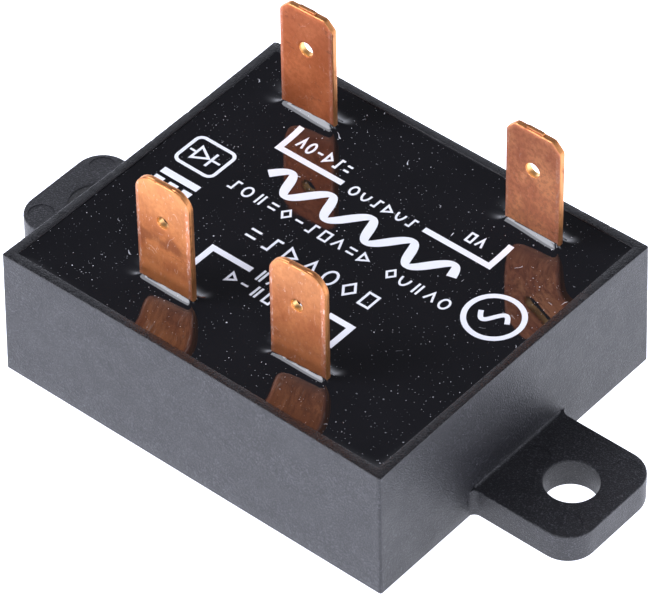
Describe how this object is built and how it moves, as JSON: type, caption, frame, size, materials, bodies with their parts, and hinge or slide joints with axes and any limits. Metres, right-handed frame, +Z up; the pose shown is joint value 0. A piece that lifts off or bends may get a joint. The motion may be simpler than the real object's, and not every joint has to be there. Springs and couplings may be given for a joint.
{
  "type": "solid state relay",
  "caption": "Potted solid state relay in an open moulded case with two screw ears and upright quick-connect blades.",
  "frame": {"origin": "centre of the underside of the case", "axes": "+X from ear to ear, +Y towards the output blades, +Z up along the blades"},
  "size_m": [0.0692, 0.0394, 0.0278],
  "materials": {
    "moulding": "fine moulded texture",
    "epoxy": "gloss",
    "print": "satin ink",
    "blade_copper": "bare, tarnished",
    "blade_copper_bright": "bare",
    "spreader": "brushed",
    "adhesive": "satin",
    "solder": "satin",
    "alumina": "fired",
    "track_copper": "etched",
    "silicon": "polished",
    "clip_copper": "rolled",
    "tinned": "tinned",
    "laminate": "solder resist",
    "ic_body": "moulded",
    "resistor_lacquer": "lacquer",
    "diode_body": "moulded",
    "film_lacquer": "lacquer",
    "film_box": "moulded",
    "chip_body": "glazed"
  },
  "bodies": {
    "root": {"case": "moulding", "potting": "epoxy", "legend_print": "print", "terminal_output_1": "blade_copper", "terminal_output_2": "blade_copper", "terminal_input_1": "blade_copper_bright", "terminal_input_2": "blade_copper_bright", "heat_spreader": "spreader", "spreader_adhesive": "adhesive", "tile_solder": "solder", "ceramic_tile": "alumina", "tile_tracks": "track_copper", "die_solder": "solder", "thyristor_1": "silicon", "thyristor_2": "silicon", "cathode_clip_1": "clip_copper", "cathode_clip_2": "clip_copper", "gate_straps": "tinned", "terminal_solder": "solder", "gate_pins": "tinned", "circuit_board": "laminate", "board_tracks": "track_copper", "board_solder": "solder", "optocoupler": "ic_body", "optocoupler_leads": "tinned", "input_resistor": "resistor_lacquer", "reverse_diode": "diode_body", "limiter_transistor": "ic_body", "snubber_resistor": "film_lacquer", "snubber_capacitor": "film_box", "component_leads": "tinned", "chip_resistors": "chip_body", "chip_end_caps": "tinned"}
  },
  "joints": []
}
